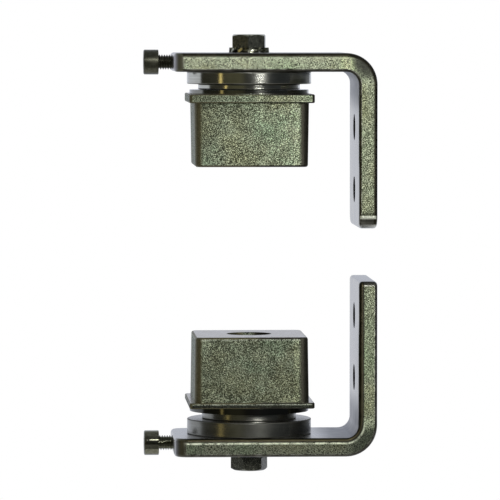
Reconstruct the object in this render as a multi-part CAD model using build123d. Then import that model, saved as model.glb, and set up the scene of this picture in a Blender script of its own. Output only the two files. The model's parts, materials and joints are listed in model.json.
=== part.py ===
from build123d import *

import os
from dataclasses import dataclass
from math import atan, cos, degrees, radians, sin, tan

# Pair of bolt-on gate hinges, in millimetres.
# Each hinge is a bent flat-bar bracket for the post and a square plug for the end of the gate's tube,
# and the plug turns on a bolt that slides in the bracket's slot under an adjusting screw.
# The origin is the middle of the lower bracket's two post holes, on the face that meets the post.
# +X points into the post, +Z is up, and the gate turns about a line parallel to Z.

# Bracket, the same bar for both hinges but for the corners of its two ends
BAR_WIDTH = 50.0
BAR_THICKNESS = 7.5
BEND_INNER_RADIUS = 5.0
ARM_END_TO_PIVOT = 31.0
PIVOT_TO_POST_FACE = 50.0
LEG_LENGTH = 70.0
UPPER_ARM_CORNER_RADIUS = 4.5
LOWER_ARM_CORNER_RADIUS = 5.5
UPPER_LEG_CORNER_RADIUS = 5.5
LOWER_LEG_CORNER_RADIUS = 2.2
BAR_EDGE_RADIUS = 1.4
POST_HOLE_DIAMETER = 10.5
POST_HOLE_SPACING = 25.0
ARM_FACE_TO_FIRST_HOLE = 30.0
PIVOT_TRAVEL = 5.0
SLOT_CLEARANCE = 0.3

# How far apart the outer faces of the two arms stand
ARM_FACE_SPACING = 161.0

# Pivot bolt and the pieces that it clamps
BOLT_DIAMETER = 8.0
BOLT_HEAD_ACROSS_FLATS = 13.0
BOLT_HEAD_HEIGHT = 5.3
BOLT_PAST_NUT = 2.0
HEX_CHAMFER_DEG = 30.0
HEX_CROWN_SHARE = 0.95
UPPER_HEAD_TURN_DEG = 24.0
LOWER_HEAD_TURN_DEG = -8.0
BOLT_CLEARANCE = 0.2
SLEEVE_DIAMETER = 12.0
SLEEVE_CLEARANCE = 0.05
RING_CLEARANCE = 0.15
PLUG_END_PLAY = 0.1
THREAD_CLEARANCE = 0.05
THREAD_END_CHAMFER = 0.8

# Tooth lock washer under the bolt head, its teeth twisted out of flat
LOCK_WASHER_DIAMETER = 16.0
LOCK_WASHER_RIM_WIDTH = 2.2
LOCK_WASHER_THICKNESS = 0.9
LOCK_WASHER_TEETH = 12
TOOTH_WIDTH = 2.2
TOOTH_TWIST_DEG = 38.0

# Turned thrust pieces between the arm and the plug
DISC_DIAMETER = BAR_WIDTH
UPPER_DISC_THICKNESS = 5.0
LOWER_DISC_THICKNESS = 6.2
UPPER_RING_DIAMETER = 41.0
LOWER_RING_DIAMETER = 38.0
UPPER_RING_THICKNESS = 2.2
LOWER_RING_THICKNESS = 3.0
TURNED_EDGE_RADIUS = 0.5

# Cast tube plug: round boss, square flange that the tube's end meets, drafted square body
BOSS_DIAMETER = 48.0
UPPER_BOSS_HEIGHT = 1.6
LOWER_BOSS_HEIGHT = 2.5
FLANGE_WIDTH = 50.0
FLANGE_CORNER_RADIUS = 1.5
UPPER_FLANGE_THICKNESS = 3.5
LOWER_FLANGE_THICKNESS = 2.4
PLUG_WIDTH = 45.8
PLUG_CORNER_RADIUS = 3.2
PLUG_DRAFT = 0.4
UPPER_PLUG_HEIGHT = 25.5
LOWER_PLUG_HEIGHT = 26.0
CAST_EDGE_RADIUS = 0.6
PLUG_END_EDGE_RADIUS = 1.0
NUT_WELL_DIAMETER = 18.0
NUT_WELL_DEPTH = 15.0

# Washer and self-locking nut in the plug's well
END_WASHER_DIAMETER = 16.0
END_WASHER_THICKNESS = 1.6
NUT_ACROSS_FLATS = 13.0
NUT_HEX_HEIGHT = 6.2
NUT_COLLAR_DIAMETER = 11.6
NUT_COLLAR_HEIGHT = 1.8

# Socket cap screw in the arm's end, its tip against the bolt
SCREW_DIAMETER = 6.0
SCREW_HEAD_DIAMETER = 10.0
SCREW_HEAD_HEIGHT = 6.0
SCREW_HEAD_TO_ARM = 5.5
SCREW_SOCKET_ACROSS_FLATS = 5.0
SCREW_SOCKET_DEPTH = 3.0
SCREW_HEAD_EDGE_RADIUS = 0.5
SCREW_TIP_GAP = 0.05

# Room that a cutter keeps past the faces it cuts through
CUT_PAST = 1.0


@dataclass
class Hinge:
    """One hinge's own sizes. Heights run from the arm's inner face towards the plug's free end."""

    name: str
    place: Location
    arm_corner: float
    leg_corner: float
    disc: float
    ring: float
    ring_diameter: float
    boss: float
    flange: float
    plug: float
    head_turn: float

    @property
    def boss_start(self):
        return self.disc + self.ring + PLUG_END_PLAY

    @property
    def flange_start(self):
        return self.boss_start + self.boss

    @property
    def body_start(self):
        return self.flange_start + self.flange

    @property
    def free_end(self):
        return self.body_start + self.plug

    @property
    def well_floor(self):
        return self.free_end - NUT_WELL_DEPTH

    @property
    def sleeve_end(self):
        return self.well_floor + PLUG_END_PLAY

    @property
    def nut_start(self):
        return self.sleeve_end + END_WASHER_THICKNESS


def rod(diameter, start, end):
    """A round bar on the pivot axis between two heights."""
    return Pos(0, 0, start) * Cylinder(
        diameter / 2, end - start, align=(Align.CENTER, Align.CENTER, Align.MIN)
    )


def tube(outer, inner, start, end):
    """A round ring on the pivot axis between two heights."""
    return rod(outer, start, end) - rod(inner, start - CUT_PAST, end + CUT_PAST)


def round_rims(piece, radius):
    """Rounds the outermost circular edges of a turned piece."""
    circles = piece.edges().filter_by(GeomType.CIRCLE)
    return fillet(circles.group_by(SortBy.RADIUS)[-1], radius)


def hex_block(across_flats, height, turn_deg):
    """A hexagon standing on its underside, its top corners turned off to a cone."""
    prism = extrude(
        RegularPolygon(across_flats / 2, 6, major_radius=False, rotation=turn_deg), height
    )
    corner = across_flats / 2 / cos(radians(30)) + CUT_PAST
    crown = across_flats / 2 * HEX_CROWN_SHARE
    drop = (corner - crown) * tan(radians(HEX_CHAMFER_DEG))
    outline = Polyline((0, 0), (corner, 0), (corner, height - drop), (crown, height), (0, height), close=True)
    return prism & revolve(Plane.XZ * make_face(outline), Axis.Z)


def lock_washer_height():
    """How tall the washer stands over its twisted teeth."""
    twist = radians(TOOTH_TWIST_DEG)
    return TOOTH_WIDTH * sin(twist) + LOCK_WASHER_THICKNESS * cos(twist)


def screw_axis_height():
    return -BAR_THICKNESS / 2


def make_bracket(hinge):
    """The bent bar: the arm lies under height 0 and the leg rises along the post."""
    post = PIVOT_TO_POST_FACE
    inner = post - BAR_THICKNESS
    leg_end = LEG_LENGTH - BAR_THICKNESS
    outline = Polyline(
        (-ARM_END_TO_PIVOT, -BAR_THICKNESS),
        (post, -BAR_THICKNESS),
        (post, leg_end),
        (inner, leg_end),
        (inner, 0),
        (-ARM_END_TO_PIVOT, 0),
        close=True,
    )
    section = make_face(outline)
    section = fillet(
        section.vertices().sort_by_distance((post, -BAR_THICKNESS))[:1],
        BEND_INNER_RADIUS + BAR_THICKNESS,
    )
    section = fillet(section.vertices().sort_by_distance((inner, 0))[:1], BEND_INNER_RADIUS)
    bar = extrude(Plane.XZ * section, BAR_WIDTH / 2, both=True)
    arm_corners = bar.edges().filter_by(Axis.Z).group_by(Axis.X)[0]
    bar = fillet(arm_corners, hinge.arm_corner)
    leg_corners = bar.edges().filter_by(Axis.X).group_by(Axis.Z)[-1]
    bar = fillet(leg_corners, hinge.leg_corner)
    bar = fillet(bar_rim(bar), BAR_EDGE_RADIUS)

    slot = extrude(
        SlotCenterToCenter(2 * PIVOT_TRAVEL, BOLT_DIAMETER + 2 * SLOT_CLEARANCE),
        BAR_THICKNESS + CUT_PAST,
        both=True,
    )
    tapped = Pos(-ARM_END_TO_PIVOT / 2 - CUT_PAST / 2, 0, screw_axis_height()) * Cylinder(
        SCREW_DIAMETER / 2 + THREAD_CLEARANCE, ARM_END_TO_PIVOT + CUT_PAST, rotation=(0, 90, 0)
    )
    bar = bar - slot - tapped
    for step in range(2):
        height = ARM_FACE_TO_FIRST_HOLE + step * POST_HOLE_SPACING - BAR_THICKNESS
        drill = Cylinder(POST_HOLE_DIAMETER / 2, BAR_THICKNESS + 2 * CUT_PAST, rotation=(0, 90, 0))
        bar = bar - Pos(post - BAR_THICKNESS / 2, 0, height) * drill
    return bar


def bar_rim(bar):
    """The edges round the bar's two broad faces, without the bend lines and the seams of its ends."""
    edges = bar.edges()
    along_width = edges.filter_by(Axis.Y)
    return (
        edges.filter_by(GeomType.CIRCLE)
        + along_width.group_by(Axis.X)[0]
        + along_width.group_by(Axis.Z)[-1]
        + [edge for group in edges.filter_by(Axis.X).group_by(Axis.Z)[:2] for edge in group]
        + [edge for group in edges.filter_by(Axis.Z).group_by(Axis.X)[-2:] for edge in group]
    )


def make_adjusting_screw(hinge):
    """Socket cap screw along the arm, from its head past the arm's end to the bolt."""
    under_head = ARM_END_TO_PIVOT + SCREW_HEAD_TO_ARM
    tip = BOLT_DIAMETER / 2 + SCREW_TIP_GAP
    shank = chamfer(rod(SCREW_DIAMETER, tip, under_head).edges().group_by(Axis.Z)[0], THREAD_END_CHAMFER)
    head = rod(SCREW_HEAD_DIAMETER, under_head, under_head + SCREW_HEAD_HEIGHT)
    head = fillet(head.edges().group_by(Axis.Z)[-1], SCREW_HEAD_EDGE_RADIUS)
    floor = under_head + SCREW_HEAD_HEIGHT - SCREW_SOCKET_DEPTH
    socket = extrude(
        RegularPolygon(SCREW_SOCKET_ACROSS_FLATS / 2, 6, major_radius=False),
        SCREW_SOCKET_DEPTH + CUT_PAST,
    )
    screw = shank + head - Pos(0, 0, floor) * socket
    return Pos(0, 0, screw_axis_height()) * Rot(0, -90, 0) * screw


def make_pivot_bolt(hinge):
    """Hex bolt, its head on the arm's outer side and its thread past the nut."""
    seat = -BAR_THICKNESS - lock_washer_height()
    tip = hinge.nut_start + NUT_HEX_HEIGHT + NUT_COLLAR_HEIGHT + BOLT_PAST_NUT
    shank = chamfer(rod(BOLT_DIAMETER, seat, tip).edges().group_by(Axis.Z)[-1], THREAD_END_CHAMFER)
    head = hex_block(BOLT_HEAD_ACROSS_FLATS, BOLT_HEAD_HEIGHT, hinge.head_turn)
    return shank + Pos(0, 0, seat) * Rot(180, 0, 0) * head


def make_lock_washer(hinge):
    """Flat rim with twisted teeth round its outside."""
    bore = BOLT_DIAMETER + 2 * BOLT_CLEARANCE
    rim = bore + 2 * LOCK_WASHER_RIM_WIDTH
    middle = -BAR_THICKNESS - lock_washer_height() / 2
    washer = tube(rim, bore, middle - LOCK_WASHER_THICKNESS / 2, middle + LOCK_WASHER_THICKNESS / 2)
    root = rim / 2 - LOCK_WASHER_RIM_WIDTH / 2
    length = LOCK_WASHER_DIAMETER / 2 - root
    tooth = Box(length, TOOTH_WIDTH, LOCK_WASHER_THICKNESS, rotation=(TOOTH_TWIST_DEG, 0, 0))
    for step in range(LOCK_WASHER_TEETH):
        turn = Rot(0, 0, step * 360 / LOCK_WASHER_TEETH)
        washer += Pos(0, 0, middle) * turn * Pos(root + length / 2, 0, 0) * tooth
    return washer


def make_thrust_disc(hinge):
    disc = tube(DISC_DIAMETER, BOLT_DIAMETER + 2 * BOLT_CLEARANCE, 0, hinge.disc)
    return round_rims(disc, TURNED_EDGE_RADIUS)


def make_thrust_ring(hinge):
    bore = SLEEVE_DIAMETER + 2 * RING_CLEARANCE
    ring = tube(hinge.ring_diameter, bore, hinge.disc, hinge.disc + hinge.ring)
    return round_rims(ring, TURNED_EDGE_RADIUS)


def make_pivot_sleeve(hinge):
    """Spacer that the bolt clamps against the disc, and that the plug turns on."""
    return tube(SLEEVE_DIAMETER, BOLT_DIAMETER + 2 * BOLT_CLEARANCE, hinge.disc, hinge.sleeve_end)


def make_tube_plug(hinge):
    """Casting with a boss, a flange and a drafted body, bored for the sleeve and welled for the nut."""
    boss = rod(BOSS_DIAMETER, hinge.boss_start, hinge.flange_start + hinge.flange / 2)
    flange = extrude(
        RectangleRounded(FLANGE_WIDTH, FLANGE_WIDTH, FLANGE_CORNER_RADIUS), hinge.flange
    )
    flange = fillet(
        flange.edges().group_by(Axis.Z)[0] + flange.edges().group_by(Axis.Z)[-1], CAST_EDGE_RADIUS
    )
    draft = degrees(atan(PLUG_DRAFT / hinge.plug))
    body = extrude(
        RectangleRounded(PLUG_WIDTH, PLUG_WIDTH, PLUG_CORNER_RADIUS), hinge.plug, taper=draft
    )
    body = fillet(body.edges().group_by(Axis.Z)[-1], PLUG_END_EDGE_RADIUS)
    plug = boss + Pos(0, 0, hinge.flange_start) * flange + Pos(0, 0, hinge.body_start) * body
    bore = SLEEVE_DIAMETER + 2 * SLEEVE_CLEARANCE
    plug -= rod(bore, hinge.boss_start - CUT_PAST, hinge.well_floor + CUT_PAST)
    return plug - rod(NUT_WELL_DIAMETER, hinge.well_floor, hinge.free_end + CUT_PAST)


def make_end_washer(hinge):
    bore = BOLT_DIAMETER + 2 * BOLT_CLEARANCE
    return tube(END_WASHER_DIAMETER, bore, hinge.sleeve_end, hinge.nut_start)


def make_lock_nut(hinge):
    """Self-locking nut: a hexagon with a round collar on its far side."""
    top = hinge.nut_start + NUT_HEX_HEIGHT + NUT_COLLAR_HEIGHT
    nut = Pos(0, 0, hinge.nut_start) * hex_block(NUT_ACROSS_FLATS, NUT_HEX_HEIGHT, 0)
    collar = rod(NUT_COLLAR_DIAMETER, hinge.nut_start + NUT_HEX_HEIGHT / 2, top)
    thread = rod(BOLT_DIAMETER + 2 * THREAD_CLEARANCE, hinge.nut_start - CUT_PAST, top + CUT_PAST)
    return nut + round_rims(collar, TURNED_EDGE_RADIUS) - thread


LOWER_ARM_FACE = -(ARM_FACE_TO_FIRST_HOLE + POST_HOLE_SPACING / 2)
UPPER_ARM_FACE = LOWER_ARM_FACE + ARM_FACE_SPACING

HINGES = (
    Hinge(
        "upper",
        Location((-PIVOT_TO_POST_FACE, 0, UPPER_ARM_FACE - BAR_THICKNESS), (180, 0, 0)),
        arm_corner=UPPER_ARM_CORNER_RADIUS,
        leg_corner=UPPER_LEG_CORNER_RADIUS,
        disc=UPPER_DISC_THICKNESS,
        ring=UPPER_RING_THICKNESS,
        ring_diameter=UPPER_RING_DIAMETER,
        boss=UPPER_BOSS_HEIGHT,
        flange=UPPER_FLANGE_THICKNESS,
        plug=UPPER_PLUG_HEIGHT,
        head_turn=UPPER_HEAD_TURN_DEG,
    ),
    Hinge(
        "lower",
        Location((-PIVOT_TO_POST_FACE, 0, LOWER_ARM_FACE + BAR_THICKNESS)),
        arm_corner=LOWER_ARM_CORNER_RADIUS,
        leg_corner=LOWER_LEG_CORNER_RADIUS,
        disc=LOWER_DISC_THICKNESS,
        ring=LOWER_RING_THICKNESS,
        ring_diameter=LOWER_RING_DIAMETER,
        boss=LOWER_BOSS_HEIGHT,
        flange=LOWER_FLANGE_THICKNESS,
        plug=LOWER_PLUG_HEIGHT,
        head_turn=LOWER_HEAD_TURN_DEG,
    ),
)

PIECES = {
    "bracket": make_bracket,
    "adjusting_screw": make_adjusting_screw,
    "pivot_bolt": make_pivot_bolt,
    "lock_washer": make_lock_washer,
    "thrust_disc": make_thrust_disc,
    "thrust_ring": make_thrust_ring,
    "pivot_sleeve": make_pivot_sleeve,
    "tube_plug": make_tube_plug,
    "end_washer": make_end_washer,
    "lock_nut": make_lock_nut,
}

os.makedirs("parts", exist_ok=True)
for one in HINGES:
    for piece_name, make in PIECES.items():
        export_step(one.place * make(one), f"parts/{one.name}_{piece_name}.step")
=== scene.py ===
import json
import math
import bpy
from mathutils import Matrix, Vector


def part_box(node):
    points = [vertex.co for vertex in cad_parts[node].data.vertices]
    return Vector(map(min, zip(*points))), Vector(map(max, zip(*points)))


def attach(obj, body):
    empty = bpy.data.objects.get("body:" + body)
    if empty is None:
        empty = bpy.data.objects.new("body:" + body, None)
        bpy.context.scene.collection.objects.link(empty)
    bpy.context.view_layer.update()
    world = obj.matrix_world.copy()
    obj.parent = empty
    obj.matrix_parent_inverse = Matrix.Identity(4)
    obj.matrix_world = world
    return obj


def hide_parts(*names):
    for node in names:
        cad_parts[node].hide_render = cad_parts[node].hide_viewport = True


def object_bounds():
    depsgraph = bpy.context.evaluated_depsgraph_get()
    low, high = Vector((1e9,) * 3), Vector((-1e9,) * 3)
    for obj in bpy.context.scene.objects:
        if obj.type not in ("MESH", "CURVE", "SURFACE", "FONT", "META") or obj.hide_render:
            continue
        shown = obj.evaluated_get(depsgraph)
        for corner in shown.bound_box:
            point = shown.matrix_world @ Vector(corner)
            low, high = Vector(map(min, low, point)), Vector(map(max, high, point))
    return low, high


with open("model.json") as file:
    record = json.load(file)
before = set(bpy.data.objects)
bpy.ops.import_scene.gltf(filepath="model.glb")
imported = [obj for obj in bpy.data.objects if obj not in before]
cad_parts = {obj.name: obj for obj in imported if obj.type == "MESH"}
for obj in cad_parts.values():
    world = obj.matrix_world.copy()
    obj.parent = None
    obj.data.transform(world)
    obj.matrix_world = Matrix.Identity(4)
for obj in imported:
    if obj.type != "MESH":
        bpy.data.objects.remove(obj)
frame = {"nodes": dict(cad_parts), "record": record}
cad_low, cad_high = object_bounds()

from types import SimpleNamespace

import bmesh
import bpy
from mathutils import Matrix, Vector

MM = 0.001
HINGES = ("upper", "lower")

# Along Z, the side of its plug on which a hinge has its arm
ARM_SIDE = {"upper": 1, "lower": -1}

# Camera, as the photograph looks: from a little left of square, and from just above the upper hinge
PHOTO_SIDE = 500
PIXELS_PER_METRE = 2480.0
CAMERA_DISTANCE = 1.8
CAMERA_AZIMUTH_DEG = -3.0
CAMERA_ELEVATION_DEG = 2.9
AIM = Vector((-0.0496, 0.0, 0.0390))
SENSOR = 36.0

# Threads, as the metric screws have them
SCREW_PITCH = 1.0 * MM
BOLT_PITCH = 1.25 * MM
THREAD_DEPTH_SHARE = 0.61
THREAD_SIDES = 48
THREAD_ROWS_PER_TURN = 10
THREAD_TIP_CHAMFER = 0.8 * MM
THREAD_FLANK = (0.15, 0.9)
THREAD_SEAM = 0.001 * MM
INTO_HEAD = 0.3 * MM

# Cap screw, its round head and its hex socket
HEAD_SIDES = 72
SHARP_ANGLE_DEG = 35
SCREW_RADIUS = 3.0 * MM
SCREW_HEAD_HEIGHT = 6.0 * MM
HEAD_FOOT_BEVEL = 0.2 * MM
HEAD_RIM_RADIUS = 0.6 * MM
HEAD_RIM_STEPS = 4
SOCKET_APOTHEM = 2.5 * MM
SOCKET_MOUTH_SHARE = 1.25
SOCKET_CHAMFER = 0.25 * MM
SOCKET_DEPTH = 3.0 * MM
SOCKET_CONE_DEPTH = 0.6 * MM
SOCKET_CONE_TIP = 0.4 * MM

# Hex bolt and its chamfered head
BOLT_RADIUS = 4.0 * MM
BOLT_HEAD_HEIGHT = 5.3 * MM
BOLT_HEAD_APOTHEM = 6.5 * MM
HEX_CROWN_SHARE = 0.95
HEX_CHAMFER = math.tan(math.radians(30))
HEX_CHAMFER_STEPS = 10
HEAD_TURN_DEG = {"upper": -6.0, "lower": -38.7}

# Sizes that the finishes follow
BAR_THICKNESS = 7.5 * MM
BEND_OUTER_RADIUS = 12.5 * MM
PLUG_HALF_WIDTH = 22.8 * MM
BOSS_HEIGHT = {"upper": 1.6 * MM, "lower": 2.5 * MM}
FLANGE_HEIGHT = {"upper": 3.5 * MM, "lower": 2.4 * MM}

# Bars: painted light levels of the grain on arm and leg, and shares of the sheared end and of the painted
# shade, highlights and leg-end light on each
ARM_SHADE = {"upper": 0.92, "lower": 0.31}
LEG_SHADE = {"upper": 1.26, "lower": 1.16}
NECK_SHARE = {"upper": 1.0, "lower": 0.5}
FLASH_SHARE = {"upper": 1.0, "lower": 0.0}
SHEARED_SHARE = {"upper": 0.8, "lower": 0.35}
RUBBED_LINE_SHARE = {"upper": 0.35, "lower": 1.0}
END_WEAR_SHARE = {"upper": 1.0, "lower": 0.0}

# The bars' rolled edge, painted dark as shade: the side of the bend that it lies on, and its width in mm on
# arm and leg
ROLLED_INSIDE = {"upper": False, "lower": True}
ROLLED_WIDTH = {"upper": (1.6, 1.6), "lower": (1.6, 2.3)}

# Zones of the bars, in mm. A reach is where a zone fades. A band starts, is full, fades and ends there
NECK_NARROW = 2.0
NECK_WIDE = 9.2
HOLLOW_REACH = (5.0, 14.0)
ARM_REACH = (-4.0, 4.0)
FLASH_BAND = (-4.0, 0.5, 2.0, 5.0)
ROLLED_REACH = (-0.45, 0.25)
RIDGE_BAND = (-1.3, -1.0, -0.8, -0.5)
RUBBED_LINE_BAND = (0.0, 0.2, 0.6, 1.0)
SHEARED_REACH = (5.0, 6.0)
LEG_END_TIP_REACH = (1.1, 2.0)
LEG_END_LINE_BAND = (3.7, 4.2, 5.1, 5.4)
LEG_END_SHADOW_BAND = (5.1, 5.5, 6.0, 7.2)
HOLE_RIM_REACH = (0.1, 0.5)

# Zones of the plugs, in mm
BOSS_FOOT_REACH = (0.0, 0.3)
FLANGE_FOOT_FADE = 0.2
FLANGE_RIM_BAND = (0.0, 0.2, 0.7, 1.1)
PLUG_END_BAND = (0.4, 0.8, 1.1, 1.6)
RIGHT_HALF_REACH = (0.0, 5.0)
CORNER_REACH = (1.9, 3.4)
CREST_BAND = (2.6, 3.4, 4.4, 5.8)
# The right corner's painted shade reaches this much further in
RIGHT_CORNER_EXTRA = 0.9

# Plugs: painted light levels of their parts, share of the painted highlight on their rims, and how much the
# painted light grows per mm to the right
PLUG_SHADE = {"upper": 1.14, "lower": 0.77}
FLANGE_SHADE = {"upper": 0.9, "lower": 0.13}
BOSS_SHADE = {"upper": 0.9, "lower": 0.35}
RUB_SHARE = {"upper": 0.25, "lower": 0.9}
PLATING_SLANT = {"upper": 0.0075, "lower": 0.002}

# Turned pieces and fasteners, with painted light levels per hinge in their shades
TURNED_SHADE = {"upper": 1.0, "lower": 0.50}
TURNED_DULLNESS = {"upper": 0.08, "lower": 0.20}
FASTENER_SHADE = {"upper": 0.88, "lower": 0.42}
FASTENER_DULLNESS = 0.12
FASTENER_FLECKS = {"upper": 0.12, "lower": 0.5}
SCREW_SHADE = {"upper": 0.85, "lower": 1.5}
SCREW_DULLNESS = {"upper": 0.26, "lower": 0.05}

# Patterns, in features per metre
BAR_GRAIN = 3300.0
BAR_MOTTLE = 240.0
BAR_DRIFT = 60.0
BAR_STREAKS = (14.0, 230.0, 14.0)
CASTING_GRAIN = 2600.0
CASTING_PITS = 3000.0
CASTING_BLOTCH = 190.0
CASTING_DRIFT = 75.0
TURNING_RINGS = (30.0, 30.0, 5000.0)
TURNED_DRIFT = 110.0
FASTENER_GRAIN = 2600.0
FASTENER_SCUFFS = 600.0

# The bars' grain is finer along Z, and then turned about Y
GRAIN_SQUEEZE = 1.4
GRAIN_SLANT = math.radians(40)

# Depths of the reliefs, and on the bars the streaks' height in mm and the slope of the drawn neck
BAR_RELIEF = 0.25 * MM
CASTING_RELIEF = 0.34 * MM
TURNED_RELIEF = 0.05 * MM
FASTENER_RELIEF = 0.1 * MM
STREAK_HEIGHT = 0.02
NECK_SLOPE = 0.36

# Share of the grainy plating that is oxide and not bare metal
OXIDE_SHARE = 0.35

# Colours of the bars
PLATING_DARK = (0.016, 0.018, 0.009)
PLATING_OLIVE = (0.082, 0.094, 0.051)
PLATING_BRIGHT = (0.780, 0.850, 0.600)
PLATING_GREEN_DRIFT = (0.84, 0.96, 0.86)
PLATING_YELLOW_DRIFT = (1.0, 0.94, 0.74)
# Painted highlight line along the arm's edge
PLATING_RUBBED = (0.95, 1.0, 0.78)
# Painted highlight on the grain where the arm meets the bend
FLASH_TINT = (1.45, 1.5, 1.3)
# Painted shade on the neck at the bend's outside
DRAWN_DARK = (0.028, 0.028, 0.022)
DRAWN_LIGHT = (0.075, 0.075, 0.062)
# Painted shade over the rolled edge, with a painted highlight on its ridge
ROLLED_DARK = (0.016, 0.015, 0.010)
ROLLED_LIGHT = (0.050, 0.046, 0.030)
ROLLED_RIDGE = (0.10, 0.085, 0.045)
BROAD_DARK = (0.25, 0.26, 0.26)
BROAD_LIGHT = (0.47, 0.47, 0.445)
# Painted light: broad faces turned sideways, as on the leg, are lighter and warmer
LEG_FACE_TINT = (1.75, 1.66, 1.48)
# Painted shade in the hollow inside the bend
HOLLOW_TINT = (0.60, 0.62, 0.70)
# Painted shade on the broad faces at the bend's outside
BEND_BACK_TINT = (0.28, 0.28, 0.29)
# Painted shade on the rounded edges, and patches of painted highlight on them
EDGE_DARK = (0.045, 0.044, 0.033)
EDGE_LIGHT = (0.12, 0.117, 0.098)
EDGE_RUBBED = (0.55, 0.56, 0.48)
# Painted shade around the post holes
HOLE_RIM_TINT = (0.16, 0.16, 0.2)
SHEARED_CORNER = (0.17, 0.17, 0.12)
SHEARED_FACE = (0.46, 0.46, 0.48)
# Painted shadow, highlight line and reflection near the leg's end
LEG_END_SHADOW = (0.30, 0.30, 0.28)
LEG_END_LINE = (0.85, 0.88, 0.74)
LEG_END_TIP = (0.60, 0.60, 0.55)

# Colours of the plugs
CASTING_DARK = (0.018, 0.020, 0.011)
CASTING_OLIVE = (0.086, 0.096, 0.060)
CASTING_BRIGHT = (0.680, 0.740, 0.560)
CASTING_GREEN_DRIFT = (0.85, 1.0, 0.88)
CASTING_MEAN_DRIFT = (0.97, 1.0, 0.90)
CASTING_YELLOW_DRIFT = (1.0, 0.97, 0.78)
# Painted highlight on the plug's rims
CASTING_RUBBED = (0.50, 0.54, 0.42)
# Painted shade on the plug's corners, bluer on the right
CORNER_DARK = (0.075, 0.070, 0.038)
CORNER_LIGHT = (0.190, 0.178, 0.105)
RIGHT_CORNER_TINT = (0.35, 0.36, 0.46)
# Painted highlight beside the plug's right corner
CREST_TINT = (1.32, 1.32, 1.28)
END_FACE_DARK = (0.27, 0.25, 0.21)
END_FACE_LIGHT = (0.47, 0.44, 0.38)
# Boss metal; its shade per hinge is painted shade between disc and flange
BOSS_METAL = (0.24, 0.24, 0.21)

# Colours of the turned pieces and the fasteners
TURNED_DARK = (0.32, 0.32, 0.27)
TURNED_LIGHT = (0.60, 0.60, 0.54)
# Painted shade on the turned pieces' rims
TURNED_RIM_TINT = (0.3, 0.3, 0.3)
FASTENER_DARK = (0.10, 0.10, 0.075)
FASTENER_LIGHT = (0.62, 0.63, 0.50)
SCREW_DARK = (0.06, 0.06, 0.04)
SCREW_LIGHT = (0.15, 0.15, 0.115)

# The floor lies below the hinges, which hang on their post
FLOOR_RADIUS = 0.6
FLOOR_SIDES = 96
FLOOR_DROP = 0.9
FLOOR_COLOUR = (0.85, 0.85, 0.85)
FLOOR_ROUGHNESS = 0.9
FLOOR_GLOW = (0.93, 0.93, 0.93)
FLOOR_GLOW_SHARE = 0.8

# The room as metal mirrors it
CAMERA_WHITE = (1.0, 1.0, 1.0)
BACKDROP = (0.76, 0.79, 0.89)
DIM_LEFT = (0.047, 0.046, 0.036)
DIM_RIGHT = (0.042, 0.046, 0.050)
WARM_CORNER = (0.115, 0.110, 0.070)
PALE_BELOW = (0.54, 0.54, 0.53)
PALE_ABOVE = (0.34, 0.35, 0.37)

# Lamps, in metres and watts
LAMPS = (
    {
        "name": "right_softbox",
        "place": (0.33, -1.10, 0.285),
        "target": (-0.05, 0, 0.04),
        "width": 0.28,
        "height": 0.20,
        "watts": 6.3,
    },
    {
        "name": "front_strip",
        "place": (-0.06, -1.05, 0.60),
        "target": (-0.05, 0, 0.06),
        "width": 0.30,
        "height": 0.10,
        "watts": 1.3,
    },
    {
        "name": "top_softbox",
        "place": (0.20, -0.36, 0.45),
        "target": (-0.05, 0, 0.08),
        "width": 0.40,
        "height": 0.40,
        "watts": 0.35,
    },
    {
        "name": "warm_strip",
        "place": (-0.672, -0.419, 0.06),
        "target": (-0.05, 0, 0.03),
        "width": 0.06,
        "height": 0.50,
        "watts": 0.125,
        "colour": (1.0, 0.78, 0.30),
    },
)


class Wire:
    """One output of a node. Arithmetic with wires and numbers adds Math nodes to the same tree."""

    def __init__(self, board, socket):
        self.board = board
        self.socket = socket

    def math(self, operation, first, second=0.0):
        return self.board.add("ShaderNodeMath", {"operation": operation}, {0: first, 1: second})

    def __add__(self, other):
        return self.math("ADD", self, other)

    def __sub__(self, other):
        return self.math("SUBTRACT", self, other)

    def __rsub__(self, other):
        return self.math("SUBTRACT", other, self)

    def __mul__(self, other):
        return self.math("MULTIPLY", self, other)

    def __truediv__(self, other):
        return self.math("DIVIDE", self, other)

    def __abs__(self):
        return self.math("ABSOLUTE", self)

    def power(self, exponent):
        return self.math("POWER", self, exponent)

    def fraction(self):
        return self.math("FRACT", self)

    def cosine(self):
        return self.math("COSINE", self)

    def sine(self):
        return self.math("SINE", self)

    def least(self, other):
        return self.math("MINIMUM", self, other)

    def most(self, other):
        return self.math("MAXIMUM", self, other)

    def step(self, low, high):
        """0 below low, 1 above high and smooth between them."""
        return self.board.add(
            "ShaderNodeMapRange",
            {"interpolation_type": "SMOOTHSTEP"},
            {"Value": self, "From Min": low, "From Max": high},
        )

    def band(self, start, full, fade, end):
        """1 from full to fade, and 0 before start and after end."""
        return self.step(start, full) * (1 - self.step(fade, end))

    __radd__ = __add__
    __rmul__ = __mul__


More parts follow.
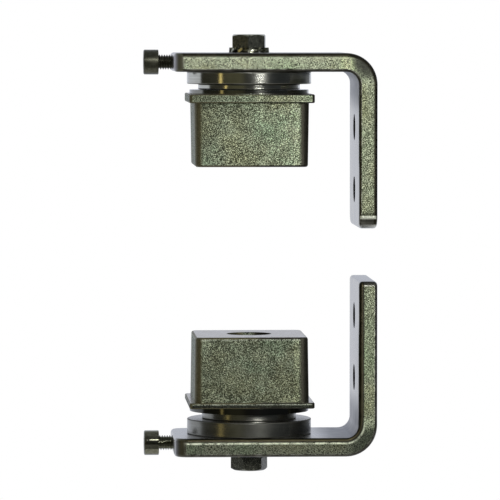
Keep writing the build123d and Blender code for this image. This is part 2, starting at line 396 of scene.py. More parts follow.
class Board:
    """A node tree that is filled by one method."""

    def __init__(self, tree):
        self.tree = tree

    def add(self, kind, settings=None, inputs=None, output=0):
        """Adds a node, makes its settings, then feeds its sockets. Returns the wire of one output."""
        node = self.tree.nodes.new(kind)
        for key, value in (settings or {}).items():
            if key == "stops":
                self.set_stops(node.color_ramp, value)
            else:
                setattr(node, key, value)
        for key, value in (inputs or {}).items():
            self.feed(node.inputs[key], value)
        outputs = node.outputs
        if isinstance(output, int):
            outputs = [socket for socket in node.outputs if socket.enabled]
        return Wire(self, outputs[output]) if outputs else None

    def feed(self, socket, value):
        """Links a wire to a socket, or sets the socket to a value."""
        if isinstance(value, Wire):
            self.tree.links.new(value.socket, socket)
        elif socket.type == "RGBA":
            socket.default_value = (*value, 1.0)
        else:
            socket.default_value = value

    def set_stops(self, ramp, stops):
        while len(ramp.elements) < len(stops):
            ramp.elements.new(0.5)
        for element, (place, colour) in zip(ramp.elements, stops):
            element.position = place
            element.color = (*colour, 1.0)

    def blend(self, kind, share, first, second):
        settings = {"data_type": "RGBA", "blend_type": kind}
        return self.add("ShaderNodeMix", settings, {"Factor": share, 6: first, 7: second})

    def mix(self, share, first, second):
        """Colour between two colours."""
        return self.blend("MIX", share, first, second)

    def tint(self, share, colour, other):
        """Colour multiplied by another, by a share."""
        return self.blend("MULTIPLY", share, colour, other)


def new_finish(name):
    """An empty material with its Principled shader, and the board to wire it on."""
    material = bpy.data.materials.new(name)
    material.use_nodes = True
    board = Board(material.node_tree)
    shader = material.node_tree.nodes["Principled BSDF"]
    return material, board, shader


def feed_shader(board, shader, **sockets):
    for key, value in sockets.items():
        board.feed(shader.inputs[key.replace("_", " ")], value)


def object_place(board):
    return board.add("ShaderNodeTexCoord", output="Object")


def axes(board, vector):
    """The three components of a vector."""
    parts = board.add("ShaderNodeSeparateXYZ", inputs={"Vector": vector})
    return [Wire(board, socket) for socket in parts.socket.node.outputs]


def object_normal(board):
    return axes(board, board.add("ShaderNodeTexCoord", output="Normal"))


def scaled(board, place, scale, turn=0.0):
    """Place stretched along the axes, then turned about Y."""
    return board.add(
        "ShaderNodeMapping", inputs={"Vector": place, "Rotation": (0.0, turn, 0.0), "Scale": scale}
    )


def noise(board, place, per_metre, detail=2.0, roughness=0.5, distortion=0.0):
    return board.add(
        "ShaderNodeTexNoise",
        inputs={
            "Vector": place,
            "Scale": per_metre,
            "Detail": detail,
            "Roughness": roughness,
            "Distortion": distortion,
        },
    )


def cells(board, place, per_metre):
    return board.add("ShaderNodeTexVoronoi", inputs={"Vector": place, "Scale": per_metre})


def bump(board, height, strength, distance, under=None):
    """Relief from a height, on top of another relief where one is given."""
    inputs = {"Height": height, "Strength": strength, "Distance": distance}
    if under:
        inputs["Normal"] = under
    return board.add("ShaderNodeBump", inputs=inputs)


def ramp(board, share, *stops):
    return board.add("ShaderNodeValToRGB", {"stops": stops}, {"Fac": share})


def grey(level):
    return (level, level, level)


def shaded(colour, shade):
    return tuple(shade * tone for tone in colour)


def ends_of(hinge, part):
    """Heights of a piece's two ends: the one on the arm's side, then the free one."""
    low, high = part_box(f"{hinge}_{part}")
    return (high.z, low.z) if ARM_SIDE[hinge] > 0 else (low.z, high.z)


def bar_surface(board, hinge):
    """What the finish of a bent bar is made from: patterns, directions, and zones in shares or mm."""
    bar = SimpleNamespace()
    place = object_place(board)
    slanted = scaled(board, place, (1.0, 1.0, GRAIN_SQUEEZE), GRAIN_SLANT)
    bar.grain = noise(board, slanted, BAR_GRAIN, detail=1.5, roughness=0.6, distortion=0.3)
    bar.pits = cells(board, place, BAR_GRAIN)
    bar.mottle = noise(board, place, BAR_MOTTLE, detail=4.0, roughness=0.6)
    bar.drift = noise(board, place, BAR_DRIFT, detail=3.0)
    bar.streaks = noise(board, scaled(board, place, BAR_STREAKS), 1.0, detail=4.0, roughness=0.65)
    bar.tarnish = bar.streaks * 0.6 + bar.drift * 0.25 + bar.mottle * 0.15
    normal_x, normal_y, _ = object_normal(board)
    bar.side_on = abs(normal_x)
    bar.edge_on = abs(normal_y)
    add_bend_zones(board, bar, place, hinge)
    add_end_zones(board, bar, place, hinge)
    return bar


def add_bend_zones(board, bar, place, hinge):
    """Zones that follow the bend: arm, hollow, the neck that sinks and gets painted shade, its painted
    highlight and the rolled edge.
    """
    x, _, z = axes(board, place)
    _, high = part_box(f"{hinge}_bracket")
    arm_face, _ = ends_of(hinge, "bracket")
    side = ARM_SIDE[hinge]
    radius = BEND_OUTER_RADIUS / MM
    thickness = BAR_THICKNESS / MM
    across = (x - (high.x - BEND_OUTER_RADIUS)) / MM
    along = (z - (arm_face - side * BEND_OUTER_RADIUS)) * side / MM
    reach = (across * across + along * along).power(0.5)
    past_across = across.most(0.0)
    past_along = along.most(0.0)
    middle = (past_across * past_along / (reach * reach).most(0.001)).step(0.03, 0.47)
    neck_width = NECK_NARROW + middle * (NECK_WIDE - NECK_NARROW)
    bar.neck = middle * ((reach - radius) / neck_width).step(-1.0, -0.25) * NECK_SHARE[hinge]
    bar.sunk = middle * (radius - thickness - reach).least(0.0) * NECK_SLOPE
    bar.hollow = 1 - reach.step(*HOLLOW_REACH)
    bar.arm = along.step(*ARM_REACH)
    bar.flash = across.band(*FLASH_BAND) * bar.arm * FLASH_SHARE[hinge]
    from_side = radius - (past_across.power(2) + past_along.power(2)).power(0.5)
    if ROLLED_INSIDE[hinge]:
        from_side = thickness - from_side
    on_arm, on_leg = ROLLED_WIDTH[hinge]
    bar.past_rolled = from_side - (on_leg + bar.arm * (on_arm - on_leg))
    bar.rolled = 1 - bar.past_rolled.step(*ROLLED_REACH)


def add_end_zones(board, bar, place, hinge):
    """Zones at the sheared end of the arm, the painted shadow, highlight and reflection at the leg's end,
    and the painted shade at the rims of the post holes.
    """
    x, y, z = axes(board, place)
    low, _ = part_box(f"{hinge}_bracket")
    _, leg_end = ends_of(hinge, "bracket")
    sheared = (1 - ((x - low.x) / MM).step(*SHEARED_REACH)) * bar.side_on.step(0.12, 0.3)
    bar.sheared = sheared * bar.edge_on.step(0.02, 0.1) * SHEARED_SHARE[hinge]
    wear = END_WEAR_SHARE[hinge]
    from_end = (z - leg_end) * ARM_SIDE[hinge] / MM
    bar.end_shadow = from_end.band(*LEG_END_SHADOW_BAND) * wear
    bar.end_line = from_end.band(*LEG_END_LINE_BAND) * bar.edge_on.step(0.6, 0.9) * wear
    bar.end_tip = (1 - from_end.step(*LEG_END_TIP_REACH)) * bar.edge_on.step(0.02, 0.1) * wear
    mounts = {mount["name"]: mount for mount in frame["record"]["mounts"]}
    bolts = mounts[f"{hinge}_post_bolts"]
    up = abs(z - bolts["pos_m"][2]) / MM - bolts["dims"]["spacing_y_mm"] / 2
    over = y / MM
    from_rim = (up * up + over * over).power(0.5) - bolts["dims"]["hole_r_mm"]
    bar.hole_rim = (1 - from_rim.step(*HOLE_RIM_REACH)) * (1 - bar.side_on.step(0.3, 0.6))


def narrow_face_colour(board, bar, hinge):
    """Grainy olive plating with painted light levels on arm and leg, a painted highlight at the bend,
    painted shade on the neck, a painted highlight line along the arm and a painted shadow near the leg's
    end.
    """
    mean = 0.53
    contrast = 0.60 + bar.arm * 2.2
    speckle = mean + (bar.grain * 0.8 + bar.pits * 0.3 - mean) * contrast
    colour = ramp(board, speckle, (0.42, PLATING_DARK), (mean, PLATING_OLIVE), (0.65, PLATING_BRIGHT))
    hue = ramp(
        board, bar.drift, (0.32, PLATING_GREEN_DRIFT), (0.5, grey(1.0)), (0.68, PLATING_YELLOW_DRIFT)
    )
    colour = board.tint(0.8, colour, hue)
    # Painted light and shade: the arm and leg of each hinge get their own light level
    shade = board.mix(bar.arm, grey(LEG_SHADE[hinge]), grey(ARM_SHADE[hinge]))
    colour = board.tint(1.0, colour, shade)
    # Painted highlight on the grain at the bend's start
    colour = board.tint(bar.flash, colour, FLASH_TINT)
    # Painted shade on the sunk neck at the bend's outside
    drawn = ramp(board, bar.mottle, (0.3, DRAWN_DARK), (0.7, DRAWN_LIGHT))
    colour = board.mix(bar.neck * (0.62 + bar.mottle * 0.6), colour, drawn)
    # Painted highlight line along the arm, next to the rolled edge
    patchy = (bar.mottle * 0.6 + bar.grain * 0.4).step(0.40, 0.54) * RUBBED_LINE_SHARE[hinge]
    line = bar.past_rolled.band(*RUBBED_LINE_BAND) * bar.arm * (1 - bar.neck) * patchy
    colour = board.mix(line, colour, PLATING_RUBBED)
    # Painted shadow band near the leg's end
    return board.tint(bar.end_shadow, colour, LEG_END_SHADOW)


def rolled_edge_colour(board, bar, hinge):
    """Painted shade in dark olive, with a painted highlight on a ridge where the edge lies on the inside of
    the bend.
    """
    colour = ramp(board, bar.mottle, (0.3, ROLLED_DARK), (0.7, ROLLED_LIGHT))
    if ROLLED_INSIDE[hinge]:
        ridge = bar.past_rolled.band(*RIDGE_BAND)
        colour = board.mix(ridge * 0.7, colour, ROLLED_RIDGE)
    return colour


def broad_face_colour(board, bar):
    """Smooth metal with rolling streaks; painted lighter and warmer on the leg's sideways faces, and
    painted shade in and behind the bend.
    """
    colour = ramp(board, bar.tarnish, (0.36, BROAD_DARK), (0.64, BROAD_LIGHT))
    # Painted light: faces turned sideways are made lighter and warmer
    on_leg = board.tint(1.0, colour, LEG_FACE_TINT)
    colour = board.mix(bar.side_on.step(0.5, 0.95) * 0.55, colour, on_leg)
    # Painted shade in the bend's hollow, patchy with the mottle
    colour = board.tint(bar.hollow * (0.4 + bar.mottle), colour, HOLLOW_TINT)
    # Painted shade on the broad faces at the neck
    return board.tint(bar.neck * 0.85, colour, BEND_BACK_TINT)


def rounded_edge_colour(board, bar):
    """Painted shade on a rounded edge, with patches of painted highlight where it nears the front face."""
    colour = ramp(board, bar.mottle, (0.3, EDGE_DARK), (0.7, EDGE_LIGHT))
    patchy = (bar.mottle * 0.5 + bar.grain * 0.5).step(0.44, 0.60)
    # Patches of painted highlight where the rounding nears the front face
    rubbed = bar.edge_on.step(0.92, 0.97) * (1 - bar.neck) * patchy
    return board.mix(rubbed, colour, EDGE_RUBBED)


def plated_bar(hinge):
    """Olive passivated zinc on a bent flat bar. Its narrow faces are grainy, all others are smooth."""
    material, board, shader = new_finish(f"{hinge}_plated_bar")
    bar = bar_surface(board, hinge)
    grainy = bar.edge_on.step(0.975, 0.998)
    rounded = (bar.edge_on - bar.side_on * 0.4).step(0.03, 0.20)
    colour = board.mix(rounded, broad_face_colour(board, bar), rounded_edge_colour(board, bar))
    colour = board.mix(grainy, colour, narrow_face_colour(board, bar, hinge))
    # Painted shade over the rolled edge, its rounding included
    on_edge = bar.rolled * bar.edge_on.step(0.35, 0.7)
    colour = board.mix(on_edge, colour, rolled_edge_colour(board, bar, hinge))
    # Painted highlight line and painted reflection of the floor at the leg's end
    colour = board.mix(bar.end_line * (0.45 + bar.grain * 0.9).least(1.0), colour, LEG_END_LINE)
    colour = board.mix(bar.end_tip, colour, LEG_END_TIP)
    # Painted shade around the post holes' rims
    colour = board.tint(bar.hole_rim, colour, HOLE_RIM_TINT)
    cut = board.mix(bar.side_on.step(0.55, 0.9), SHEARED_CORNER, SHEARED_FACE)
    colour = board.mix(bar.sheared, colour, cut)
    rough = 0.12 + bar.tarnish * 0.30 + rounded * 0.08 + grainy * (0.05 + bar.grain * 0.2)
    rough = rough + bar.hollow * (0.06 + bar.mottle * 0.24)
    rough = rough + bar.sheared * 0.32 + bar.neck * (1 - grainy) * 0.25
    curve = bump(board, bar.sunk + bar.streaks * (1 - grainy) * STREAK_HEIGHT, 1.0, MM)
    speckle = bar.grain * 0.7 + bar.pits * 0.4
    relief = bump(board, speckle, 0.05 + grainy * 0.95, BAR_RELIEF, curve)
    metal = 1 - grainy.most(bar.end_line) * OXIDE_SHARE
    feed_shader(board, shader, Base_Color=colour, Metallic=metal, Roughness=rough, Normal=relief)
    return material


def casting_zones(board, place, hinge):
    """Zones of a tube plug as shares, and the place across it in mm."""
    plug = SimpleNamespace()
    x, y, z = axes(board, place)
    low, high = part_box(f"{hinge}_tube_plug")
    side = ARM_SIDE[hinge]
    boss_end, _ = ends_of(hinge, "tube_plug")
    boss_foot = boss_end - side * BOSS_HEIGHT[hinge]
    length = (high.z - low.z - BOSS_HEIGHT[hinge]) / MM
    flange = FLANGE_HEIGHT[hinge] / MM
    above = (z - boss_foot) * side / MM
    plug.boss = above.step(*BOSS_FOOT_REACH)
    plug.flange = (above + flange).step(-FLANGE_FOOT_FADE, FLANGE_FOOT_FADE)
    plug.rims = (above + flange).band(*FLANGE_RIM_BAND) + (above + length).band(*PLUG_END_BAND)
    normal_x, normal_y, normal_z = [abs(part) for part in object_normal(board)]
    flat = (normal_x.power(8) + normal_y.power(8) + normal_z.power(8)).step(0.60, 0.96)
    plug.level = normal_z.step(0.90, 0.99)
    from_middle = x - (low.x + high.x) / 2
    plug.across = from_middle / MM
    plug.right = plug.across.step(*RIGHT_HALF_REACH)
    from_corner = (PLUG_HALF_WIDTH - abs(from_middle).least(abs(y))) / MM
    from_corner = from_corner - plug.right * RIGHT_CORNER_EXTRA
    # Corners and their rims: smoother grain, and painted shade
    plug.worn = (1 - flat).most((1 - from_corner.step(*CORNER_REACH)) * (1 - plug.flange))
    plug.crest = from_corner.band(*CREST_BAND) * plug.right * (1 - plug.flange)
    return plug


def plated_casting(hinge):
    """Olive passivated zinc on a casting, grainy except for its boss, its level faces and its corners."""
    material, board, shader = new_finish(f"{hinge}_plated_casting")
    place = object_place(board)
    grain = noise(board, place, CASTING_GRAIN, detail=1.5, roughness=0.6, distortion=0.6)
    pits = cells(board, place, CASTING_PITS)
    drift = noise(board, place, CASTING_DRIFT, detail=4.0, roughness=0.55)
    blotch = noise(board, place, CASTING_BLOTCH, detail=3.0)
    plug = casting_zones(board, place, hinge)
    upright = (1 - plug.boss) * (1 - plug.level)
    grainy = (1 - plug.worn * 0.75) * upright
    speckle = grain * 0.8 + pits * 0.25 + blotch * 0.14 - 0.07
    colour = ramp(board, speckle, (0.39, CASTING_DARK), (0.52, CASTING_OLIVE), (0.67, CASTING_BRIGHT))
    hue = ramp(
        board,
        drift,
        (0.34, CASTING_GREEN_DRIFT),
        (0.5, CASTING_MEAN_DRIFT),
        (0.68, CASTING_YELLOW_DRIFT),
    )
    colour = board.tint(0.9, colour, hue)
    # Painted light: this hinge's plug level, lighter towards the right
    to_right = 0.5 + plug.across * PLATING_SLANT[hinge]
    lightening = ramp(board, to_right, (0.0, grey(0.0)), (1.0, grey(PLUG_SHADE[hinge] * 2)))
    colour = board.tint(1.0, colour, lightening)
    # Painted shade on the flange, far darker on the lower hinge
    colour = board.tint(plug.flange, colour, grey(FLANGE_SHADE[hinge]))
    # Painted highlight speckles along the flange's rim and the plug's end
    rubbed = plug.rims * (grain * 0.7 + blotch * 0.3).step(0.42, 0.58) * RUB_SHARE[hinge]
    colour = board.mix(rubbed, colour, CASTING_RUBBED)
    # Painted shade on the corners, bluer on the right
    corner = ramp(board, grain, (0.3, CORNER_DARK), (0.7, CORNER_LIGHT))
    corner = board.tint(plug.right, corner, RIGHT_CORNER_TINT)
    # Painted highlight on a crest beside the right corner
    colour = board.tint(plug.crest, colour, CREST_TINT)
    colour = board.mix(plug.worn, colour, corner)
    end_face = ramp(board, blotch * 0.6 + grain * 0.4, (0.36, END_FACE_DARK), (0.64, END_FACE_LIGHT))
    colour = board.mix(plug.level, colour, end_face)
    # Painted shade on the boss, tucked between disc and flange
    colour = board.mix(plug.boss, colour, shaded(BOSS_METAL, BOSS_SHADE[hinge]))
    rough = 0.27 - plug.boss * 0.16 + upright * (0.11 + grain * 0.2)
    rough = rough + plug.level * (blotch - 0.5) * 0.3
    relief = bump(board, grain * 0.7 + pits * 0.4, grainy * 0.85 + 0.03, CASTING_RELIEF)
    metal = 1 - grainy * OXIDE_SHARE
    feed_shader(board, shader, Base_Color=colour, Metallic=metal, Roughness=rough, Normal=relief)
    return material


def turned_metal(hinge):
    """Lathe-turned plated steel: fine rings along the axis, and a slow change of tint."""
    material, board, shader = new_finish(f"{hinge}_turned_steel")
    place = object_place(board)
    rings = noise(board, scaled(board, place, TURNING_RINGS), 1.0, detail=3.0, roughness=0.6)
    drift = noise(board, place, TURNED_DRIFT, detail=3.0)
    colour = ramp(board, drift * 0.5 + rings * 0.5, (0.3, TURNED_DARK), (0.7, TURNED_LIGHT))
    # Painted light level of this hinge's turned pieces
    colour = board.tint(1.0, colour, grey(TURNED_SHADE[hinge]))
    tilt = abs(object_normal(board)[2])
    # Painted shade on the rims, which also turn rougher
    rim = tilt.band(0.05, 0.3, 0.9, 0.99)
    colour = board.tint(rim * 0.6, colour, TURNED_RIM_TINT)
    rough = TURNED_DULLNESS[hinge] + drift * 0.10 + rim * 0.3
    relief = bump(board, rings, 0.2, TURNED_RELIEF)
    feed_shader(board, shader, Base_Color=colour, Metallic=1.0, Roughness=rough, Normal=relief)
    return material


def fastener_plating(name, dark, light, shade, dullness, flecks=0.0):
    """Plated fastener steel with an olive sheen and small scuffs, and flecks of oxide where it has them."""
    material, board, shader = new_finish(name)
    place = object_place(board)
    scuffs = noise(board, place, FASTENER_SCUFFS, detail=4.0, roughness=0.65)
    grain = noise(board, place, FASTENER_GRAIN, detail=1.5, roughness=0.6)
    patchy = scuffs * 0.4 + grain * 0.6
    # The shade is this hinge's painted light level
    colour = ramp(board, patchy, (0.36, shaded(dark, shade)), (0.64, shaded(light, shade)))
    rough = dullness + scuffs * 0.12
    relief = bump(board, scuffs * 0.5 + grain * 0.5, 0.15 + flecks, FASTENER_RELIEF)
    metal = 1 - grain.step(0.50, 0.66) * flecks if flecks else 1.0
    feed_shader(board, shader, Base_Color=colour, Metallic=metal, Roughness=rough, Normal=relief)
    return material


def finishes_of(hinge):
    return {
        "bar": plated_bar(hinge),
        "casting": plated_casting(hinge),
        "turned": turned_metal(hinge),
        "fastener": fastener_plating(
            f"{hinge}_plated_fastener",
            FASTENER_DARK,
            FASTENER_LIGHT,
            FASTENER_SHADE[hinge],
            FASTENER_DULLNESS,
            FASTENER_FLECKS[hinge],
        ),
        "screw": fastener_plating(
            f"{hinge}_dark_screw", SCREW_DARK, SCREW_LIGHT, SCREW_SHADE[hinge], SCREW_DULLNESS[hinge]
        ),
    }


NODE_FINISH = {
    "bracket": "bar",
    "tube_plug": "casting",
    "thrust_disc": "turned",
    "thrust_ring": "turned",
    "pivot_sleeve": "turned",
    "lock_washer": "fastener",
    "end_washer": "fastener",
    "lock_nut": "fastener",
}


def dress_nodes(hinge, finishes):
    for part, finish in NODE_FINISH.items():
        for slot in frame["nodes"][f"{hinge}_{part}"].material_slots:
            slot.material = finishes[finish]


def thread_tree():
    """Geometry nodes for a threaded rod that stands on its tip at the origin."""
    tree = bpy.data.node_groups.new("threaded_rod", "GeometryNodeTree")
    face = tree.interface
    face.new_socket("Geometry", in_out="OUTPUT", socket_type="NodeSocketGeometry")
    for name in ("Crest radius", "Root radius", "Pitch", "Length", "Tip chamfer"):
        face.new_socket(name, in_out="INPUT", socket_type="NodeSocketFloat")
    for name in ("Rows", "Sides"):
        face.new_socket(name, in_out="INPUT", socket_type="NodeSocketInt")
    face.new_socket("Finish", in_out="INPUT", socket_type="NodeSocketMaterial")
    board = Board(tree)
    sizes = board.add("NodeGroupInput").socket.node.outputs
    crest, root, pitch, length, tip = [Wire(board, sizes[i]) for i in range(5)]
    grid = board.add(
        "GeometryNodeMeshGrid",
        inputs={
            "Size X": 1.0,
            "Size Y": 1.0,
            "Vertices X": Wire(board, sizes["Rows"]),
            "Vertices Y": Wire(board, sizes["Sides"]) + 1,
        },
    )
    grid_x, grid_y, _ = axes(board, board.add("GeometryNodeInputPosition"))
    along = (grid_x + 0.5) * length
    around = grid_y + 0.5
    wave = abs((along / pitch - around).fraction() * 2 - 1)
    flank = wave.step(*THREAD_FLANK)
    radius = (root + (crest - root) * flank).least(crest - tip + along)
    angle = around * math.tau
    ring = board.add(
        "ShaderNodeCombineXYZ",
        inputs={"X": radius * angle.cosine(), "Y": radius * angle.sine(), "Z": along},
    )
    rod = board.add("GeometryNodeSetPosition", inputs={"Geometry": grid, "Position": ring})
    closed = board.add("GeometryNodeMergeByDistance", inputs={"Geometry": rod, "Distance": THREAD_SEAM})
    whole = board.add("GeometryNodeRealizeInstances", inputs={"Geometry": closed})
    done = board.add(
        "GeometryNodeSetMaterial", inputs={"Geometry": whole, "Material": Wire(board, sizes["Finish"])}
    )
    board.add("NodeGroupOutput", inputs={"Geometry": done})
    return tree


def threaded_rod(tree, radius, pitch, length, finish):
    """A plain mesh of the threaded rod, made by the tree."""
    carrier = bpy.data.objects.new("thread_carrier", bpy.data.meshes.new("thread_carrier"))
    bpy.context.scene.collection.objects.link(carrier)
    modifier = carrier.modifiers.new("thread", "NODES")
    modifier.node_group = tree
    values = {
        "Crest radius": radius,
        "Root radius": radius - THREAD_DEPTH_SHARE * pitch,
        "Pitch": pitch,
        "Length": length,
        "Tip chamfer": THREAD_TIP_CHAMFER,
        "Rows": int(length / pitch * THREAD_ROWS_PER_TURN) + 1,
        "Sides": THREAD_SIDES,
        "Finish": finish,
    }
    for item in tree.interface.items_tree:
        if item.in_out == "INPUT":
            modifier[item.identifier] = values[item.name]
    seen = carrier.evaluated_get(bpy.context.evaluated_depsgraph_get())
    mesh = bpy.data.meshes.new_from_object(seen)
    bpy.data.objects.remove(carrier)
    return mesh


def hexagon(apothem):
    """Radius of a hexagon at an angle, its corners at 0, 60, 120 degrees and so on."""
    return lambda angle: apothem / math.cos((angle % math.radians(60)) - math.radians(30))


def circle(radius):
    return lambda angle: radius


def chamfered(apothem, limit):
    """A hexagon with its corners cut to a circle."""
    edge = hexagon(apothem)
    return lambda angle: min(edge(angle), limit)


def loft(shape, rings, turn=0.0):
    """Skins a stack of (height, radius by angle) rings, with a flat cap at each end."""
    loops = []
    for height, radius in rings:
        loop = []
        for i in range(HEAD_SIDES):
            angle = math.tau * i / HEAD_SIDES
            reach = radius(angle)
            point = (reach * math.cos(angle + turn), reach * math.sin(angle + turn), height)
            loop.append(shape.verts.new(point))
        loops.append(loop)
    for low, high in zip(loops, loops[1:]):
        for i in range(HEAD_SIDES):
            j = (i + 1) % HEAD_SIDES
            shape.faces.new((low[i], low[j], high[j], high[i]))
    shape.faces.new(loops[0][::-1])
    shape.faces.new(loops[-1])


def finish_piece(name, shape, placing, material, body, node):
    """Puts a bmesh in its place as a piece that rides on a body and stands for a node."""
    boundary = [edge for edge in shape.edges if edge.is_boundary]
    bmesh.ops.holes_fill(shape, edges=boundary, sides=0)
    bmesh.ops.recalc_face_normals(shape, faces=shape.faces)
    shape.transform(placing)
    mesh = bpy.data.meshes.new(name)
    shape.to_mesh(mesh)
    shape.free()
    mesh.materials.clear()
    mesh.materials.append(material)
    for polygon in mesh.polygons:
        polygon.use_smooth = True
        polygon.material_index = 0
    mesh.set_sharp_from_angle(angle=math.radians(SHARP_ANGLE_DEG))
    piece = bpy.data.objects.new(name, mesh)
    bpy.context.scene.collection.objects.link(piece)
    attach(piece, body)
    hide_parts(node)


def cap_head_rings(foot, head_radius):
    """Outline of a cap screw's head, from its foot over its rounded rim and down into its socket."""
    top = foot + SCREW_HEAD_HEIGHT
    rings = [
        (foot, circle(head_radius - HEAD_FOOT_BEVEL)),
        (foot + HEAD_FOOT_BEVEL, circle(head_radius)),
    ]
    inset = head_radius - HEAD_RIM_RADIUS
    for step in range(HEAD_RIM_STEPS + 1):
        turn = math.radians(90) * step / HEAD_RIM_STEPS
        height = top - HEAD_RIM_RADIUS + HEAD_RIM_RADIUS * math.sin(turn)
        rings.append((height, circle(inset + HEAD_RIM_RADIUS * math.cos(turn))))
    rings += [
        (top, circle(SOCKET_APOTHEM * SOCKET_MOUTH_SHARE)),
        (top - SOCKET_CHAMFER, hexagon(SOCKET_APOTHEM)),
        (top - SOCKET_DEPTH, hexagon(SOCKET_APOTHEM)),
        (top - SOCKET_DEPTH - SOCKET_CONE_DEPTH, circle(SOCKET_CONE_TIP)),
    ]
    return rings


def cap_screw(hinge, tree, finish):
    """Socket cap screw with its thread. Built head up, then laid along the arm."""
    node = f"{hinge}_adjusting_screw"
    low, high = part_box(node)
    length = high.x - low.x - SCREW_HEAD_HEIGHT
    shape = bmesh.new()
    shape.from_mesh(threaded_rod(tree, SCREW_RADIUS, SCREW_PITCH, length + INTO_HEAD, finish))
    loft(shape, cap_head_rings(length, (high.z - low.z) / 2))
    middle = (low + high) / 2
    lay = Matrix.Rotation(math.radians(-90), 4, "Y")
    placing = Matrix.Translation((high.x, middle.y, middle.z)) @ lay
    finish_piece(f"{hinge}_cap_screw", shape, placing, finish, f"{hinge}_screw", node)


def hex_head_rings(foot):
    """Outline of a hex head, whose chamfer cuts its corners to ever smaller circles."""
    crown = BOLT_HEAD_APOTHEM * HEX_CROWN_SHARE
    corner = BOLT_HEAD_APOTHEM / math.cos(math.radians(30))
    top = foot + BOLT_HEAD_HEIGHT
    rings = [(foot, hexagon(BOLT_HEAD_APOTHEM))]
    for step in range(HEX_CHAMFER_STEPS + 1):
        reach = corner + (crown - corner) * step / HEX_CHAMFER_STEPS
        rings.append((top - (reach - crown) * HEX_CHAMFER, chamfered(BOLT_HEAD_APOTHEM, reach)))
    return rings


def hex_bolt(hinge, tree, finish):
    """Hex bolt with its thread. Built head up, then stood with its head on the arm's side."""
    node = f"{hinge}_pivot_bolt"
    low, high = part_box(node)
    length = high.z - low.z - BOLT_HEAD_HEIGHT
    shape = bmesh.new()
    shape.from_mesh(threaded_rod(tree, BOLT_RADIUS, BOLT_PITCH, length + INTO_HEAD, finish))
    loft(shape, hex_head_rings(length), math.radians(HEAD_TURN_DEG[hinge] + 30))
    middle = (low + high) / 2
    _, tip = ends_of(hinge, "pivot_bolt")
    flip = Matrix.Rotation(math.radians(0 if ARM_SIDE[hinge] > 0 else 180), 4, "X")
    placing = Matrix.Translation((middle.x, middle.y, tip)) @ flip
    finish_piece(f"{hinge}_hex_bolt", shape, placing, finish, f"{hinge}_pivot", node)


def lay_floor():
    """A pale round floor far below the hinges."""
    mesh = bpy.data.meshes.new("floor")
    shape = bmesh.new()
    bmesh.ops.create_circle(shape, cap_ends=True, radius=FLOOR_RADIUS, segments=FLOOR_SIDES)
    shape.transform(Matrix.Translation((AIM.x, 0, cad_low.z - FLOOR_DROP)))
    shape.to_mesh(mesh)
    shape.free()
    floor = bpy.data.objects.new("floor", mesh)
    bpy.context.scene.collection.objects.link(floor)
    material, board, shader = new_finish("pale_floor")
    feed_shader(board, shader, Base_Color=FLOOR_COLOUR, Roughness=FLOOR_ROUGHNESS)
    glow = board.add("ShaderNodeEmission", inputs={"Color": FLOOR_GLOW})
    seen = board.add("ShaderNodeLightPath", output="Is Camera Ray")
    mirrored = board.add("ShaderNodeLightPath", output="Is Glossy Ray")
    share = seen.most(mirrored) * FLOOR_GLOW_SHARE
    surface = Wire(board, shader.outputs["BSDF"])
    both = board.add("ShaderNodeMixShader", inputs={0: share, 1: surface, 2: glow})
    board.tree.links.new(both.socket, board.tree.nodes["Material Output"].inputs["Surface"])
    mesh.materials.append(material)


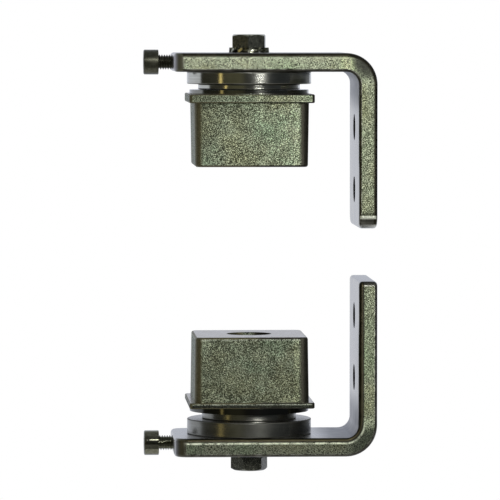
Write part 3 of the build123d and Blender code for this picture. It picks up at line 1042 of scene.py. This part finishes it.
def light_world():
    """White to the camera. Metal sees a pale backdrop behind, pale above and below, and a dim front."""
    world = bpy.data.worlds.new("studio")
    bpy.context.scene.world = world
    world.use_nodes = True
    board = Board(world.node_tree)
    x, y, z = axes(board, board.add("ShaderNodeTexCoord", output="Generated"))
    behind = (y - x.most(0.0) * 0.8).step(0.20, 0.30) * (1 - z.step(0.60, 0.95))
    above_or_below = abs(z).step(0.14, 0.34) * (1 - (0 - y).step(0.1, 0.6) * 0.6)
    front_left = x.band(-0.85, -0.6, -0.35, -0.1) * (1 - y.step(-0.4, 0.0))
    dim = board.mix(x.step(-0.6, 0.6), DIM_LEFT, DIM_RIGHT)
    dim = board.mix(front_left, dim, WARM_CORNER)
    pale = board.mix(z.step(-0.1, 0.1), PALE_BELOW, PALE_ABOVE)
    room = board.mix(above_or_below, dim, pale)
    room = board.mix(behind, room, BACKDROP)
    seen = board.add("ShaderNodeLightPath", output="Is Camera Ray")
    colour = board.mix(seen, room, CAMERA_WHITE)
    feed_shader(board, world.node_tree.nodes["Background"], Color=colour, Strength=1.0)


def add_lamp(name, place, target, width, height, watts, colour=(1.0, 1.0, 1.0)):
    lamp = bpy.data.lights.new(name, "AREA")
    lamp.shape = "RECTANGLE"
    lamp.size = width
    lamp.size_y = height
    lamp.energy = watts
    lamp.color = colour
    stand = bpy.data.objects.new(name, lamp)
    stand.location = place
    stand.rotation_mode = "QUATERNION"
    stand.rotation_quaternion = (Vector(target) - Vector(place)).to_track_quat("-Z", "Y")
    stand.visible_camera = False
    bpy.context.scene.collection.objects.link(stand)


def set_camera():
    azimuth = math.radians(CAMERA_AZIMUTH_DEG)
    elevation = math.radians(CAMERA_ELEVATION_DEG)
    level = math.cos(elevation)
    back = Vector((math.sin(azimuth) * level, -math.cos(azimuth) * level, math.sin(elevation)))
    data = bpy.data.cameras.new("camera")
    data.sensor_width = SENSOR
    data.lens = PIXELS_PER_METRE * CAMERA_DISTANCE * SENSOR / PHOTO_SIDE
    camera = bpy.data.objects.new("camera", data)
    camera.location = AIM + back * CAMERA_DISTANCE
    camera.rotation_mode = "QUATERNION"
    camera.rotation_quaternion = (-back).to_track_quat("-Z", "Y")
    bpy.context.scene.collection.objects.link(camera)
    bpy.context.scene.camera = camera


threads = thread_tree()
for hinge in HINGES:
    hinge_finishes = finishes_of(hinge)
    dress_nodes(hinge, hinge_finishes)
    cap_screw(hinge, threads, hinge_finishes["screw"])
    hex_bolt(hinge, threads, hinge_finishes["fastener"])
lay_floor()
light_world()
for lamp in LAMPS:
    add_lamp(**lamp)
set_camera()
bpy.context.scene.view_settings.view_transform = "Standard"
